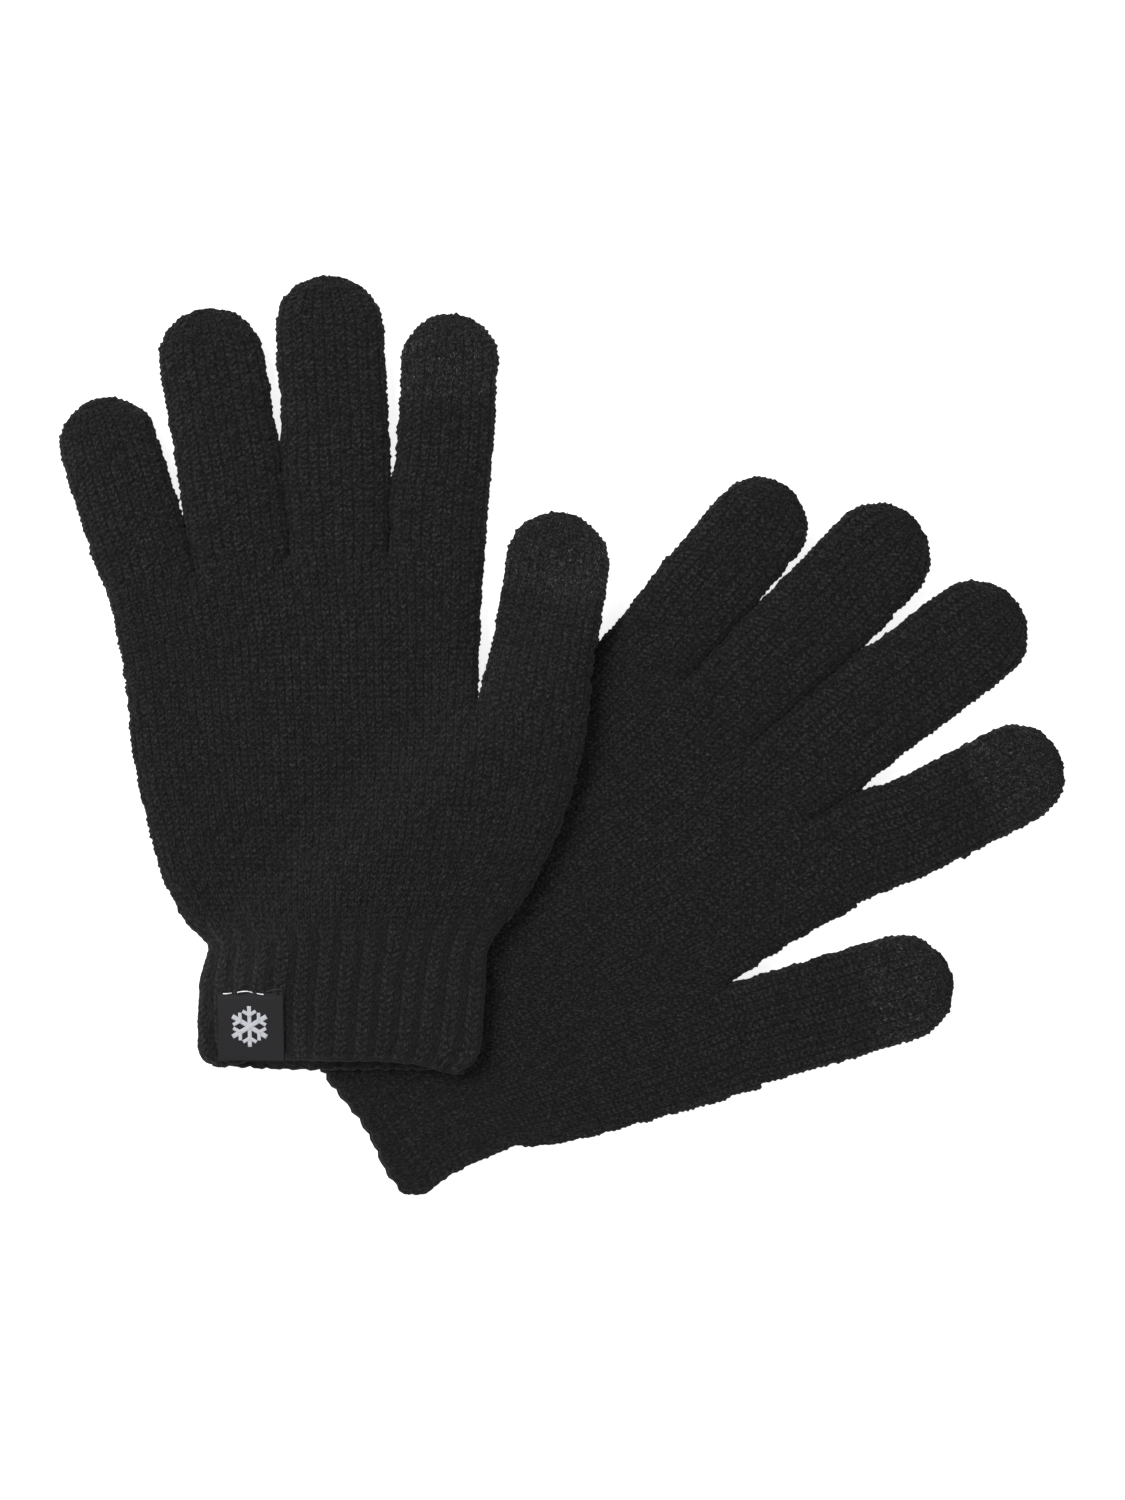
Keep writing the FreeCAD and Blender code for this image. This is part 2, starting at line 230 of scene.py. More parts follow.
# the outline of each glove as it lies, in pairs of Y and X: the little finger's side, the thumb's
# side up to its root, and from the thumb's crotch up to the index finger's root
LITTLE_SIDE = {
    "left": [(0, -38.2), (1, -40.3), (3, -41.8), (8, -42.4), (16, -42.4), (24, -41.9),
             (31, -40.3), (35.5, -39.6), (37.5, -41.4), (42.5, -46.2), (49, -49.9), (56, -52.9),
             (70, -56.9), (90, -61.2), (108, -63.3), (124, -65.5), (138.3, -69.0)],
    "right": [(0, -37.0), (3, -39.4), (12, -40.4), (24, -40.3), (33, -38.4), (40, -42.4),
              (50, -47.6), (70, -53.6), (94, -58.2), (114, -60.6), (130, -62.6), (146.7, -66.4)],
}
THUMB_SIDE = {
    "left": [(0, 36.4), (1.5, 38.9), (4, 40.8), (12, 42.0), (24, 43.0), (35, 44.1), (38, 45.6),
             (46, 51.7), (58, 59.2), (72, 65.2), (86, 69.7), (100.5, 72.8)],
    "right": [(0, 37.6), (2.7, 39.7), (9, 39.7), (16, 40.4), (22.4, 41.6), (28, 42.8), (31, 43.6),
              (38, 47.8), (48.3, 52.9), (59.5, 57.0), (68, 60.0), (90, 68.0), (101.3, 71.4)],
}
INDEX_SIDE = {
    "left": [(107, 40.4), (118, 40.5), (130, 41.0), (142, 41.5), (149.9, 42.4)],
    "right": [(108, 40.2), (118, 40.7), (130, 41.1), (142, 42.2), (155, 43.9)],
}
WRIST = {"left": 36.0, "right": 32.0}
ROOT_WIDTH = {"index": 28.5, "middle": 29.0, "ring": 28.5, "little": 27.2, "thumb": 32.6}
# how far a digit's root lies to the thumb's side of its hinge
NUDGE = {"left": {}, "right": {"index": 2.2, "ring": 0.6, "thumb": 1.8}}


def line_through(points, y):
    """A smooth line through points (y, x), read at y, and its slope there."""
    py = np.array([p[0] for p in points], float)
    px = np.array([p[1] for p in points], float)
    step = np.diff(py)
    rate = np.diff(px) / step
    slope = np.empty_like(px)
    slope[1:-1] = (rate[:-1] * step[1:] + rate[1:] * step[:-1]) / (step[1:] + step[:-1])
    slope[0], slope[-1] = rate[0], rate[-1]
    k = np.clip(np.searchsorted(py, y) - 1, 0, len(step) - 1)
    t = (y - py[k]) / step[k]
    a, b = px[k], px[k + 1]
    m, n = slope[k] * step[k], slope[k + 1] * step[k]
    bow = 3 * (b - a) - 2 * m - n
    twist = m + n - 2 * (b - a)
    value = a + m * t + bow * t**2 + twist * t**3
    return value, (m + 2 * bow * t + 3 * twist * t**2) / step[k]


def on_line(line, y):
    """The point of a side line at Y."""
    return np.array([float(line_through(line, y)[0]), y])


def from_line(line, spots, y):
    """How far to the right of a side line points lie, square to the line as it runs at Y."""
    x, slope = line_through(line, y)
    return (spots[:, 0] - x) / np.sqrt(1 + slope**2)


def from_point(point, spots):
    return np.hypot(spots[:, 0] - point[0], spots[:, 1] - point[1])


def digit_frame(side, digit):
    """A digit's root on the floor plan, and the way across and along it, in the glove's frame."""
    joint = joints[f"{side}_{digit}_fold"]
    x, y = to_glove(side, joint["pos_m"][0] / MM, joint["pos_m"][1] / MM)
    x += NUDGE[side].get(digit, 0)
    turn = math.atan2(joint["axis"][1], joint["axis"][0]) - TURN[side]
    across = np.array([math.cos(turn), math.sin(turn)])
    return np.array([x, y]), across, np.array([-across[1], across[0]])


def root_ends(side, digit):
    """The two ends of a digit's root, the little finger's side first."""
    root, across, along = digit_frame(side, digit)
    half = SPREAD[side] * ROOT_WIDTH[digit] / 2
    return root - half * across, root + half * across


def knuckles(side):
    """The five corners of the finger roots, from the little finger's outer side on."""
    ends = [root_ends(side, finger) for finger in reversed(FINGERS)]
    corners = [ends[0][0]]
    for left, right in zip(ends, ends[1:]):
        corners.append((left[1] + right[0]) / 2)
    corners.append(ends[-1][1])
    return np.array(corners)


def layer(side, x, y, distance, up, plump=0.0):
    """Points of the knit's upper or lower layer. distance is how far in from its sides."""
    inward = np.clip(distance / ROUNDING, 0, 1)
    rounded = np.sqrt(1 - (1 - inward) ** 2)
    height = (HALF + plump) * rounded
    if up:
        waves = sum(size * np.sin(a * x + b * y + start) for size, a, b, start in WAVES)
        height = height + waves * rounded
    px, py = to_pair(side, x, y)
    z = MIDDLE + lie(side, x, y) + (height if up else -HALF * rounded)
    return np.stack([px, py, z], axis=-1)


def even_steps(points, count):
    """Where along a dense row of points to stand count + 1 evenly spaced ones, from 0 to 1."""
    step = np.linalg.norm(np.diff(points, axis=0), axis=1)
    walked = np.concatenate([[0], np.cumsum(step)])
    stops = np.linspace(0, walked[-1], count + 1)
    return np.interp(stops, walked, np.linspace(0, 1, len(points)))


def around(upper, lower):
    """The upper layer's points from side to side, then back through one lower point a wale."""
    back = lower[:, COLUMNS:-1:COLUMNS][:, ::-1]
    return np.concatenate([upper, back], axis=1)


def normals(points):
    """Outward directions of a tube's points, rows along and columns around."""
    across = np.roll(points, -1, axis=1) - np.roll(points, 1, axis=1)
    along = np.gradient(points, axis=0)
    normal = np.cross(across, along)
    length = np.linalg.norm(normal, axis=-1, keepdims=True)
    return normal / np.maximum(length, 1e-9)


def grain(rows, columns):
    """Fuzz and lumps of the yarn: points stand a little in or out, neighbours alike."""
    total = 0
    for passes, amount in (FUZZ, LUMPS):
        noise = RNG.standard_normal((rows, columns))
        for _ in range(passes):
            for axis in (0, 1):
                noise = (np.roll(noise, 1, axis) + 2 * noise + np.roll(noise, -1, axis)) / 4
        total = total + amount * noise / noise.std()
    return total


def from_low(low, value):
    """A height of 0 to 1, lifted so that it starts at low."""
    return low + (1 - low) * value


def knit_height(wale, course):
    """Stocking stitch, from almost 0 in the grooves to about 1 on the yarn: each stitch has two
    slanted legs, and no two stitches are quite the same size."""
    place = wale - np.floor(wale)
    slanted = course - LEG_SLANT * np.abs(2 * place - 1)
    across = from_low(GROOVE, np.abs(np.sin(2 * math.pi * place)) ** 0.6)
    along = from_low(GROOVE, 0.5 + 0.5 * np.cos(2 * math.pi * slanted))
    a, b, c = SCRAMBLE
    uneven = np.sin(a * np.floor(wale) + b * np.floor(slanted)) * c
    uneven = uneven - np.floor(uneven)
    return across * along * (SMALL_STITCH + STITCH_RANGE * uneven)


def knit_mesh(name, points, heights, uv_across, uv_along, closed_along=False, pole=False):
    """A tube from rows of points in millimetres: a grid rolled up, with its last column welded
    to its first, and its last row welded to a pole or to its first row. Heights are kept as the
    attribute loft, from which the yarn's material paints shade where the knit lies low."""
    rows, columns = points.shape[:2]
    bands = rows if closed_along else rows - 1
    bm = bmesh.new()
    bm.loops.layers.uv.new("knit")
    bmesh.ops.create_grid(bm, x_segments=columns, y_segments=bands, size=1, calc_uvs=True)
    bm.verts.ensure_lookup_table()
    width = columns + 1
    weld = {}
    for row in range(bands + 1):
        weld[bm.verts[row * width + columns]] = bm.verts[row * width]
    if closed_along:
        for column in range(width):
            weld[bm.verts[bands * width + column]] = bm.verts[column % columns]
    if pole:
        for column in range(1, width):
            weld[bm.verts[bands * width + column]] = bm.verts[bands * width]
    bmesh.ops.weld_verts(bm, targetmap=weld)
    mesh = bpy.data.meshes.new(name)
    bm.to_mesh(mesh)
    bm.free()
    flat = points.reshape(-1, 3).copy()
    flat[:, 2] = np.maximum(flat[:, 2], TABLE)
    lofts = heights.reshape(-1)
    if pole:
        flat = flat[:(rows - 1) * columns + 1]
        lofts = lofts[:(rows - 1) * columns + 1]
    mesh.vertices.foreach_set("co", (flat * MM).astype(np.float32).reshape(-1))
    loft = mesh.attributes.new("loft", "FLOAT", "POINT")
    loft.data.foreach_set("value", lofts.astype(np.float32))
    uv = np.zeros(len(mesh.loops) * 2, np.float32)
    layer_uv = mesh.uv_layers["knit"].data
    layer_uv.foreach_get("uv", uv)
    uv = uv.reshape(-1, 2)
    uv[:, 0] = np.interp(uv[:, 0] * columns, np.arange(columns + 1), uv_across)
    uv[:, 1] = np.interp(uv[:, 1] * bands, np.arange(len(uv_along)), uv_along)
    layer_uv.foreach_set("uv", uv.reshape(-1))
    mesh.shade_smooth()
    mesh.update()
    return mesh


def wale_marks(columns):
    """Wale numbers at a tube's points around, with the first one again at the end."""
    upper = np.arange(columns + 1) / COLUMNS
    lower = upper[-1] + np.arange(1, columns // COLUMNS + 1)
    return np.concatenate([upper, lower])


def place_piece(mesh, material):
    item = bpy.data.objects.new(mesh.name, mesh)
    bpy.context.scene.collection.objects.link(item)
    mesh.materials.append(material)
    return item


# tones of the yarn: the reading of a noise or of the loft, from and to, and the tone at each;
# the loft's tones are painted shade, darker where the knit lies low between stitches
TUFT_TONES = (0.4, 0.6, 0.33, 1.55)
FIBRE_TONES = (0.48, 0.66, 0.33, 1.88)
CLOUD_TONES = (0.3, 0.7, 0.92, 1.08)
LOFT_SHADE_TONES = (0.18, 0.82, 0.34, 1.4)
FLECK_TONES = (0.63, 0.74, 0.0, 1.0)
PATCH_TONES = (0.35, 0.6, 0.3, 1.0)
FAINT_FLECK = 0.004
FIBRE_STRETCH = (1.8, 0.75, 1)
FLECK_STRETCH = (2.2, 0.75, 1)


def yarn_group():
    """Loose spun yarn: tufts and crossed fibres, light on dark, with painted shade that darkens it
    in the grooves between stitches. A share of light flecks can be mixed in."""
    group = bpy.data.node_groups.new("spun_yarn", "ShaderNodeTree")
    face = group.interface
    for label, kind, value in (
            ("Yarn", "NodeSocketColor", (0.02, 0.02, 0.02, 1)),
            ("Fleck", "NodeSocketColor", (0.1, 0.1, 0.1, 1)),
            ("Fleck Share", "NodeSocketFloat", 0.0)):
        face.new_socket(label, in_out="INPUT", socket_type=kind).default_value = value
    face.new_socket("Color", in_out="OUTPUT", socket_type="NodeSocketColor")
    face.new_socket("Height", in_out="OUTPUT", socket_type="NodeSocketFloat")
    nodes, links = group.nodes, group.links
    source = nodes.new("NodeGroupInput")
    sink = nodes.new("NodeGroupOutput")
    uv = nodes.new("ShaderNodeUVMap")
    uv.uv_map = "knit"
    loft = nodes.new("ShaderNodeAttribute")
    loft.attribute_name = "loft"

    def noise(scale, detail, swirl, stretch=(1, 1, 1), turn=0.0):
        mapping = nodes.new("ShaderNodeMapping")
        mapping.inputs["Scale"].default_value = stretch
        mapping.inputs["Rotation"].default_value = (0, 0, turn)
        links.new(uv.outputs["UV"], mapping.inputs["Vector"])
        texture = nodes.new("ShaderNodeTexNoise")
        texture.inputs["Scale"].default_value = scale
        texture.inputs["Detail"].default_value = detail
        texture.inputs["Roughness"].default_value = 0.65
        texture.inputs["Distortion"].default_value = swirl
        links.new(mapping.outputs["Vector"], texture.inputs["Vector"])
        return texture.outputs["Fac"]

    def math_node(operation, a, b, clamp=False):
        node = nodes.new("ShaderNodeMath")
        node.operation = operation
        node.use_clamp = clamp
        for socket, value in zip(node.inputs, (a, b)):
            if isinstance(value, (int, float)):
                socket.default_value = value
            else:
                links.new(value, socket)
        return node.outputs[0]

    def ramp(value, tones):
        node = nodes.new("ShaderNodeMapRange")
        links.new(value, node.inputs["Value"])
        for label, number in zip(("From Min", "From Max", "To Min", "To Max"), tones):
            node.inputs[label].default_value = number
        return node.outputs["Result"]

    tufts = noise(scale=1.35, detail=1.0, swirl=0.8)
    fibres = noise(scale=1.7, detail=1.5, swirl=1.0, stretch=FIBRE_STRETCH, turn=0.6)
    strands = noise(scale=1.7, detail=1.5, swirl=1.0, stretch=FIBRE_STRETCH, turn=-0.6)
    clouds = noise(scale=0.1, detail=2.0, swirl=0.0)
    crossed = math_node("MAXIMUM", fibres, strands)
    tone = math_node("MULTIPLY", ramp(tufts, TUFT_TONES), ramp(crossed, FIBRE_TONES))
    tone = math_node("MULTIPLY", tone, ramp(clouds, CLOUD_TONES))
    # painted shade: the yarn is drawn darker where the loft is low, in the grooves between
    # stitches
    tone = math_node("MULTIPLY", tone, ramp(loft.outputs["Fac"], LOFT_SHADE_TONES))
    shade = nodes.new("ShaderNodeVectorMath")
    shade.operation = "SCALE"
    links.new(source.outputs["Yarn"], shade.inputs[0])
    links.new(tone, shade.inputs["Scale"])
    leaning = noise(scale=1.25, detail=1.5, swirl=1.2, stretch=FLECK_STRETCH, turn=0.75)
    crossing = noise(scale=1.25, detail=1.5, swirl=1.2, stretch=FLECK_STRETCH, turn=-0.6)
    patches = noise(scale=0.4, detail=1.0, swirl=0.0)
    fleck = ramp(math_node("MAXIMUM", leaning, crossing), FLECK_TONES)
    fleck = math_node("MULTIPLY", fleck, ramp(patches, PATCH_TONES))
    fleck = math_node("ADD", fleck, FAINT_FLECK)
    fleck = math_node("MULTIPLY", fleck, source.outputs["Fleck Share"], clamp=True)
    mix = nodes.new("ShaderNodeMix")
    mix.data_type = "RGBA"
    links.new(fleck, mix.inputs["Factor"])
    links.new(shade.outputs["Vector"], mix.inputs["A"])
    links.new(source.outputs["Fleck"], mix.inputs["B"])
    links.new(mix.outputs["Result"], sink.inputs["Color"])
    links.new(math_node("ADD", tufts, crossed), sink.inputs["Height"])
    return group


YARN = yarn_group()
CHARCOAL = (0.0111, 0.0106, 0.0108, 1)


def yarn_material(name, color, fleck=None, share_attribute=None):
    """A yarn in one colour, or flecked where an attribute of the mesh says how much."""
    material = bpy.data.materials.new(name)
    material.use_nodes = True
    nodes, links = material.node_tree.nodes, material.node_tree.links
    shader = nodes["Principled BSDF"]
    shader.inputs["Roughness"].default_value = 0.92
    shader.inputs["Specular IOR Level"].default_value = 0.18
    shader.inputs["Sheen Weight"].default_value = 0.05
    shader.inputs["Sheen Roughness"].default_value = 0.45
    yarn = nodes.new("ShaderNodeGroup")
    yarn.node_tree = YARN
    yarn.inputs["Yarn"].default_value = color
    if share_attribute:
        yarn.inputs["Fleck"].default_value = fleck
        share_node = nodes.new("ShaderNodeAttribute")
        share_node.attribute_name = share_attribute
        links.new(share_node.outputs["Fac"], yarn.inputs["Fleck Share"])
    bump = nodes.new("ShaderNodeBump")
    bump.inputs["Strength"].default_value = 0.9
    bump.inputs["Distance"].default_value = 0.0005
    links.new(yarn.outputs["Height"], bump.inputs["Height"])
    links.new(yarn.outputs["Color"], shader.inputs["Base Color"])
    links.new(bump.outputs["Normal"], shader.inputs["Normal"])
    return material


KNIT = yarn_material("charcoal_knit", CHARCOAL)

# ------------------------------------------------------------------ cuff and hand
# The cuff is ribbed: plump columns of large stitches with grooves between them, which run out
# into the plain knit of the hand above the wrist. The hand widens to the thumb's opening and
# goes on, narrower, to the finger roots.

# ribs: how many lie across a layer, how much of each is its plump column, how far that stands
# out and how clearly it shows on each glove, from which course past the wrist to which it runs
# out, the slant and lowest places of its stitches, and the painted shade between ribs
RIBS = 14
RIB_SHARE = 0.66
RIB_DEPTH = 0.55
RIB_STRENGTH = {"left": 1.0, "right": 0.3}
RIB_END = (-1.0, 7.0)
RIB_LEG_SLANT = 0.7
RIB_GROOVE = 0.15
SHADE_BETWEEN_RIBS = 0.36
CUFF_COURSE = 2.0
# the mouth: how far back its upper layer stands, its scallops, and where it hangs down further,
# by how much, at which X and how widely
MOUTH_STEP = {"left": 2.9, "right": 1.2}
MOUTH_REACH = 12
SCALLOP = 5.4
SCALLOP_DEPTH = 0.8
LEFT_SLACK = 1.4
RIGHT_SLACK = 1.2
RIGHT_SAGS = ((2.3, 30, 9), (0.8, -4, 8))
# the cuff's inside: how far under the outside it lies, in how many rows, its loft, and how the
# rows past the wrist turn in to it
WALL = 1.7
INNER_ROWS = 12
INNER_LOFT = 0.4
TURN_IN = (0.1, 0.35, 0.8)
# where tubes meet: how many courses ease a tube on to its seam, and what is near enough to weld
SEAM_COURSES = 3
WELD = 2e-6


def rib_height(rib, course):
    """One plump column of stitches to a rib: its height, and how far out the yarn is in it, as a
    loft that paints shade in the stitch grooves and between ribs.
    """
    place = (rib - np.floor(rib)) / RIB_SHARE
    on_rib = place < 1
    place = np.clip(place, 0, 1)
    bulge = np.where(on_rib, np.sin(math.pi * place) ** 0.7, 0)
    leg = np.abs(2 * place - 1)
    split = np.abs(np.sin(2 * math.pi * place)) ** 0.35
    along = 0.5 + 0.5 * np.cos(2 * math.pi * (course - RIB_LEG_SLANT * leg))
    stitch = split * from_low(RIB_GROOVE, along)
    # painted shade: the loft is low in a rib's stitch grooves and between ribs, so the yarn is
    # drawn darker there
    tone = np.where(on_rib, from_low(RIB_GROOVE, stitch), SHADE_BETWEEN_RIBS)
    return bulge * from_low(GROOVE, stitch), tone


def mouth_drop(side, x, upper):
    """How far the knit hangs past the straight mouth line: scallops, and slack."""
    notch = np.abs(np.sin(math.pi * (x + 0.35 * np.sin(0.9 * x)) / SCALLOP)) ** 0.6
    drop = SCALLOP_DEPTH * (notch - 0.5)
    if side == "right":
        drop = 1.3 * drop + RIGHT_SLACK
        for amount, middle, reach in RIGHT_SAGS:
            drop = drop + amount * np.exp(-(((x - middle) / reach) ** 2))
    elif upper:
        drop = drop * 0.5 + LEFT_SLACK * smooth(x, 10, 30)
    return drop


def ease_notch(line, y):
    """Half of what a side line would move if the wrist's notch were smoothed out."""
    near = np.clip(y + np.linspace(-14, 14, 15), 0, None)
    return 0.5 * (line_through(line, near)[0].mean() - float(line_through(line, y)[0]))


def hand_inward(side, spots, crotch):
    """How far in from the hand's sides points lie, and from the crotch of the thumb."""
    y = spots[:, 1]
    from_left = from_line(LITTLE_SIDE[side], spots, y)
    from_right = -from_line(THUMB_SIDE[side], spots, np.minimum(y, THUMB_SIDE[side][-1][0]))
    inward = np.minimum(np.minimum(from_left, from_right), from_point(crotch, spots))
    return np.maximum(inward, 0)


def lower_hand(side):
    """The cuff and the hand up to the thumb's crotch, as one run of points around, and the
    number of the row at the wrist."""
    wrist = WRIST[side]
    crotch, thumb_right = root_ends(side, "thumb")
    top_left = on_line(LITTLE_SIDE[side], crotch[1])
    wrist_row = round(wrist / CUFF_COURSE) * ROWS
    hand_rows = round((crotch[1] - wrist) / COURSE) * ROWS
    share = PALM_COLUMNS / HAND_COLUMNS
    straight_end = top_left + (thumb_right - top_left) * share
    place = np.arange(HAND_COLUMNS + 1) / HAND_COLUMNS
    rows = [(wrist * t, wrist * t, 0.0) for t in np.linspace(0, 1, wrist_row + 1)[:-1]]
    rows += [(wrist + (crotch[1] - wrist) * t, wrist + (thumb_right[1] - wrist) * t, t)
             for t in np.linspace(0, 1, hand_rows + 1)]
    upper, lower = [], []
    for left_y, right_y, climb in rows:
        left = on_line(LITTLE_SIDE[side], left_y)
        right = on_line(THUMB_SIDE[side], right_y)
        if climb == 1.0:
            right = thumb_right
        middle = left + (right - left) * share + climb**2 * (crotch - straight_end)
        row = []
        for start, end, count, dense in ((left, middle, PALM_COLUMNS, 4 * DENSE),
                                         (middle, right, THUMB_COLUMNS, 2 * DENSE)):
            spots = start + (end - start) * np.linspace(0, 1, dense)[:, None]
            laid = layer(side, spots[:, 0], spots[:, 1], hand_inward(side, spots, crotch), True)
            row.append(start + (end - start) * even_steps(laid, count)[:, None])
        spots = np.concatenate([row[0], row[1][1:]])
        ease = smooth(place, 0, 0.2) * (1 - place) * ease_notch(LITTLE_SIDE[side], left_y)
        ease += smooth(1 - place, 0, 0.2) * place * ease_notch(THUMB_SIDE[side], right_y)
        spots[:, 0] += ease * (1 - climb)
        inward = hand_inward(side, spots, crotch)
        step_back = max(0.0, 1 - left_y / wrist)
        near = max(0.0, 1 - left_y / MOUTH_REACH) ** 2
        lift = MOUTH_STEP[side] * step_back * smooth(inward, 0.5, 7.0)
        x, y = spots[:, 0], spots[:, 1]
        upper.append(layer(side, x, y + lift - near * mouth_drop(side, x, True), inward, True))
        lower.append(layer(side, x, y - near * mouth_drop(side, x, False), inward, False))
    return around(np.array(upper), np.array(lower)), wrist_row


def palm_inward(side, spots, corners):
    """How far in from the upper hand's sides points lie, and from the corners of the roots."""
    y = spots[:, 1]
    inward = np.minimum(from_line(LITTLE_SIDE[side], spots, y),
                        -from_line(INDEX_SIDE[side], spots, y))
    for corner in corners[1:-1]:
        inward = np.minimum(inward, from_point(corner, spots))
    for corner in corners[[0, -1]]:
        near = np.minimum(inward, from_point(corner, spots))
        inward = np.where(y > corner[1] - 2, near, inward)
    return np.maximum(inward, 0)


def upper_hand(side):
    """The hand from the thumb's crotch to the finger roots: its wales are even at the crotch,
    and shared out equally to the fingers at their roots."""
    corners = knuckles(side)
    crotch = root_ends(side, "thumb")[0]
    start_left = on_line(LITTLE_SIDE[side], crotch[1])
    courses = round((corners[:, 1].mean() - crotch[1]) / (COURSE * STRETCH[side]))
    fingers = len(FINGERS)
    base = start_left + (crotch - start_left) * np.linspace(0, 1, fingers + 1)[:, None]
    span = 2 * DENSE
    upper, lower = [], []
    for t in np.linspace(0, 1, courses * ROWS + 1):
        bends = base + (corners - base) * t
        bends[0, 0] = line_through(LITTLE_SIDE[side], bends[0, 1])[0]
        bends[-1, 0] = line_through(INDEX_SIDE[side], bends[-1, 1])[0]
        if t == 1.0:
            bends = corners.copy()
        path = np.concatenate([a + (b - a) * np.linspace(0, 1, span, endpoint=False)[:, None]
                               for a, b in zip(bends, bends[1:])] + [bends[-1:]])
        dense = layer(side, path[:, 0], path[:, 1], palm_inward(side, path, corners), True)
        whole = even_steps(dense, PALM_COLUMNS)
        by_finger = [(k + even_steps(dense[k * span:(k + 1) * span + 1], FINGER_COLUMNS)[:-1])
                     / fingers for k in range(fingers)]
        by_finger = np.concatenate(by_finger + [[1.0]])
        blend = smooth(t)
        along = (1 - blend) * whole + blend * by_finger
        marks = np.linspace(0, 1, len(path))
        x, y = (np.interp(along, marks, path[:, k]) for k in (0, 1))
        inward = palm_inward(side, np.stack([x, y], axis=-1), corners)
        upper.append(layer(side, x, y, inward, True))
        lower.append(layer(side, x, y, inward, False))
    return around(np.array(upper), np.array(lower))


def wale_stitches(columns, rows, first_course):
    """Knit heights of a tube's points: stitches on the upper layer, even knit below."""
    upper = columns + 1
    wales = np.arange(upper)[None, :] / COLUMNS
    courses = first_course + np.arange(rows)[:, None] / ROWS
    heights = np.full((rows, columns + columns // COLUMNS), PLAIN_DEPTH / KNIT_DEPTH)
    heights[:, :upper] = knit_height(wales, courses)
    return heights


def start_on(seam, shaped):
    """A tube's points, eased over its first courses so that it starts on a seam's points."""
    ease = 1 - smooth(np.arange(shaped.shape[0]), 0, SEAM_COURSES * ROWS)
    return shaped + (seam - shaped[0])[None] * ease[:, None, None]


def ribbed_tube(side):
    """The cuff and the lower hand: bare points, outward directions, the knit's points, lofts, the
    wrist's row and the course of each row, counted from the wrist."""
    points, wrist_row = lower_hand(side)
    rows = points.shape[0]
    courses = np.arange(rows) / ROWS - wrist_row / ROWS
    heights = wale_stitches(HAND_COLUMNS, rows, -wrist_row / ROWS)
    ribs, stitches = rib_height(wale_marks(HAND_COLUMNS)[:-1][None, :] * RIBS / HAND_WALES,
                                courses[:, None])
    ribbed = RIB_STRENGTH[side] * (1 - smooth(courses[:, None], *RIB_END))
    outward = normals(points)
    depth = ribs * RIB_DEPTH * ribbed + heights * KNIT_DEPTH * (1 - ribbed)
    depth = depth + grain(*depth.shape) * (1 - 0.5 * ribbed)
    lofts = stitches * ribbed + heights * (1 - ribbed)
    return points, outward, points + outward * depth[..., None], lofts, wrist_row, courses


def plain_tube(side, below, first_course):
    """The upper hand: the knit's points and heights, from the palm's part of the row below."""
    bare = upper_hand(side)
    heights = wale_stitches(PALM_COLUMNS, bare.shape[0], first_course)
    depth = heights * KNIT_DEPTH + grain(*heights.shape)
    seam = np.concatenate([below[:PALM_COLUMNS + 1], below[HAND_COLUMNS + 1 + WALES["thumb"]:]])
    return start_on(seam, bare + normals(bare) * depth[..., None]), heights


def join_meshes(name, first, second):
    """Two tubes made one, welded where their rims lie on each other."""
    bm = bmesh.new()
    bm.from_mesh(first)
    bm.from_mesh(second)
    rim = [v for v in bm.verts if v.is_boundary]
    bmesh.ops.remove_doubles(bm, verts=rim, dist=WELD)
    mesh = bpy.data.meshes.new(name)
    bm.to_mesh(mesh)
    bm.free()
    mesh.shade_smooth()
    return mesh


seams = {}
for side in SIDES:
    points, outward, shaped, lofts, wrist_row, courses = ribbed_tube(side)
    top, top_heights = plain_tube(side, shaped[-1], courses[-1])
    around_hand = wale_marks(HAND_COLUMNS) * WALE_WIDTH
    # cuff: the ribbed outside, which turns in under the hand, and a plain inside back to the mouth
    last = wrist_row + 1 + len(TURN_IN)
    turned = slice(wrist_row + 1, last)
    picks = np.linspace(wrist_row - 2, 0, INNER_ROWS).round().astype(int)
    inside = points[picks] - outward[picks] * WALL
    tucked = shaped[turned] - outward[turned] * np.array(TURN_IN)[:, None, None]
    cuff_points = np.concatenate([shaped[:wrist_row + 1], tucked, inside])
    cuff_lofts = np.concatenate([lofts[:last], np.full(inside.shape[:2], INNER_LOFT)])
    cuff_courses = np.concatenate([courses[:last], np.linspace(2, 18, INNER_ROWS + 1)])
    mesh = knit_mesh(f"{side}_ribbed_cuff", cuff_points, cuff_lofts, around_hand,
                     cuff_courses * COURSE, closed_along=True)
    cuff = place_piece(mesh, KNIT)
    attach(cuff, f"{side}_glove")
    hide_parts(f"{side}_cuff")
    # hand: the lower part, round the palm and the thumb's ball, and the upper part on top of it
    low_mesh = knit_mesh("low", shaped[wrist_row:], lofts[wrist_row:], around_hand,
                         courses[wrist_row:] * COURSE)
    top_courses = courses[-1] + np.arange(top.shape[0]) / ROWS
    high_mesh = knit_mesh("high", top, top_heights, wale_marks(PALM_COLUMNS) * WALE_WIDTH,
                          top_courses * COURSE)
    hand = place_piece(join_meshes(f"{side}_hand_knit", low_mesh, high_mesh), KNIT)
    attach(hand, f"{side}_glove")
    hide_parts(f"{side}_hand")
    seams[side] = {"low": shaped[-1], "top": top[-1], "course": top_courses[-1],
                   "crotch_course": courses[-1], "mouth": (shaped[0], inside[-1])}

# ------------------------------------------------------------------ fingers and thumb
# Each finger is a tube of the same knit with a rounded tip, joined to the hand along its root.
# Neighbours lie side by side from the root to where they part. The tips of the index finger and
# the thumb are knitted with grey conductive fibres, which fade in over about three courses.

